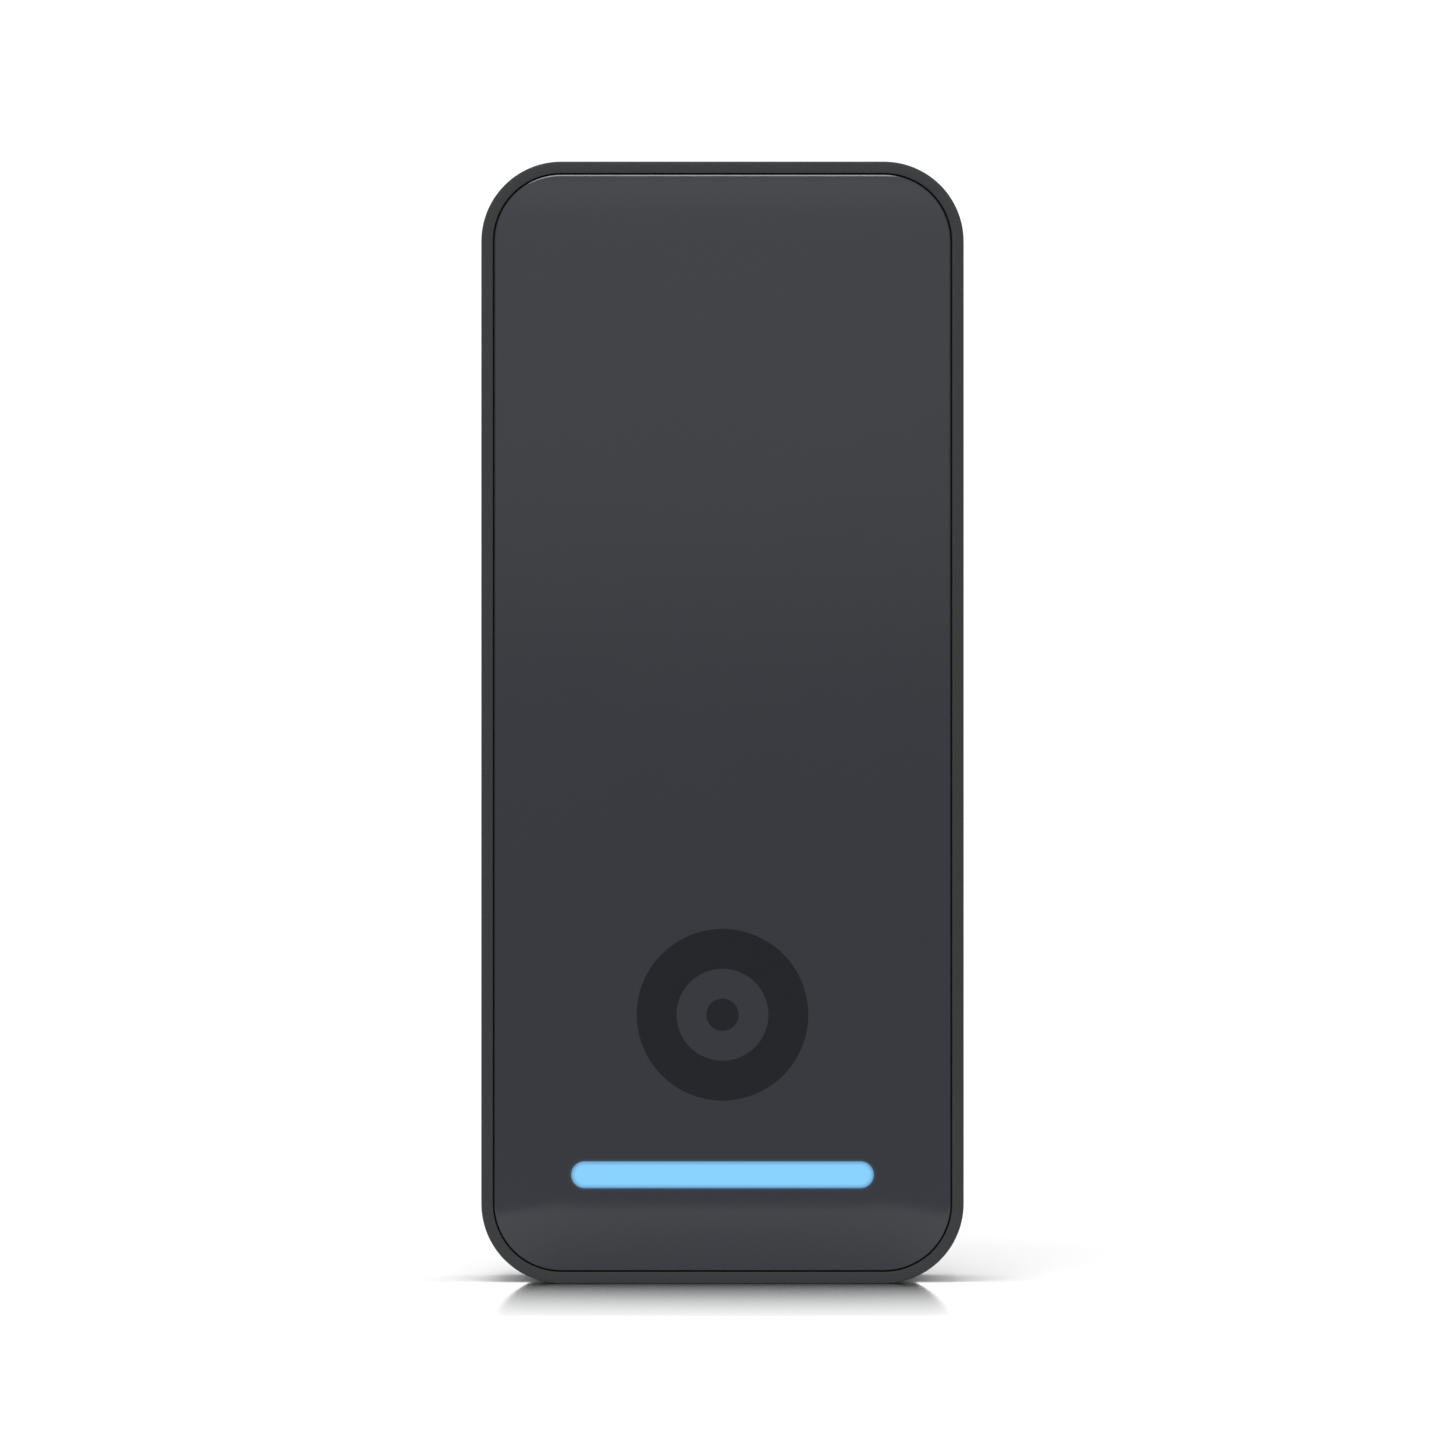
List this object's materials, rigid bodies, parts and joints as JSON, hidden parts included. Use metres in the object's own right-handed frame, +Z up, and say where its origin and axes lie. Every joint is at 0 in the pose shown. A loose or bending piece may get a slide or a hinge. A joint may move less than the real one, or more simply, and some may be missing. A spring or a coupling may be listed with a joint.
{
  "type": "rfid card reader",
  "caption": "Slim wall-mounted access card reader with a smooth front panel, a light bar, and a hook-on wall bracket that swings away.",
  "frame": {"origin": "middle of the bottom edge that the reader stands on", "axes": "+X to the reader's right as seen from the front, +Y from the front face towards the wall, +Z up"},
  "size_m": [0.063, 0.0206, 0.1465],
  "materials": {
    "charcoal_housing": "fine matte texture",
    "smoked_panel": "smooth satin gloss",
    "light_guide": "lit, frosted",
    "black_foam": "closed-cell foam",
    "circuit_board": "solder resist",
    "led_white": "moulded",
    "copper": "bright wire",
    "ferrite": "sintered grey",
    "tinned_steel": "tin plated",
    "black_plastic": "moulded",
    "ribbon_film": "amber film",
    "rubber": "moulded rubber",
    "screw_steel": "plated",
    "bracket_metal": "blasted sheet",
    "label_film": "blank film",
    "pin_brass": "gilt pin"
  },
  "bodies": {
    "reader": {"front_housing": "charcoal_housing", "rear_housing": "charcoal_housing", "front_panel": "smoked_panel", "light_guide": "light_guide", "panel_adhesive": "black_foam", "light_seal": "black_foam", "speaker_gasket": "black_foam", "light_board": "circuit_board", "antenna_board": "circuit_board", "main_board": "circuit_board", "led_1": "led_white", "led_2": "led_white", "led_3": "led_white", "led_4": "led_white", "antenna_coil": "copper", "ferrite_sheet": "ferrite", "power_transformer": "ferrite", "ethernet_jack": "tinned_steel", "shield_can": "tinned_steel", "mid_frame": "black_plastic", "processor": "black_plastic", "main_connector": "black_plastic", "light_connector": "black_plastic", "speaker": "black_plastic", "tamper_switch": "black_plastic", "reset_switch": "black_plastic", "ribbon_cable": "ribbon_film", "perimeter_seal": "rubber", "capacitor_1": "bracket_metal", "capacitor_2": "bracket_metal", "vent_membrane": "label_film", "rating_label": "label_film", "antenna_pin_left": "pin_brass", "antenna_pin_right": "pin_brass", "tamper_spring": "screw_steel", "case_screw_1": "screw_steel", "board_screw_1": "screw_steel", "case_screw_2": "screw_steel", "board_screw_2": "screw_steel", "case_screw_3": "screw_steel", "board_screw_3": "screw_steel", "case_screw_4": "screw_steel", "board_screw_4": "screw_steel", "light_screw_left": "screw_steel", "light_screw_right": "screw_steel"},
    "bracket": {"wall_bracket": "bracket_metal", "bracket_nut": "screw_steel", "wall_gasket": "black_foam"},
    "plunger": {"tamper_plunger": "black_plastic"},
    "button": {"reset_button": "rubber"},
    "lock_screw": {"security_screw": "screw_steel"}
  },
  "joints": [
    {"name": "bracket_swing", "type": "hinge", "parent": "reader", "child": "bracket", "pos_m": [0, 0.0067, 0.1322], "axis": [1, 0, 0], "range_deg": [0, 12]},
    {"name": "tamper_press", "type": "slide", "parent": "reader", "child": "plunger", "axis": [0, -1, 0], "range_m": [0, 0.001], "stiffness_N_per_m": 300, "springref_m": -0.001, "deforming": ["tamper_spring"]},
    {"name": "reset_press", "type": "slide", "parent": "reader", "child": "button", "axis": [0, -1, 0], "range_m": [0, 0.0005], "stiffness_N_per_m": 600, "springref_m": -0.0005},
    {"name": "lock_screw_travel", "type": "slide", "parent": "reader", "child": "lock_screw", "axis": [0, 0, 1], "range_m": [0, 0.0034]}
  ]
}
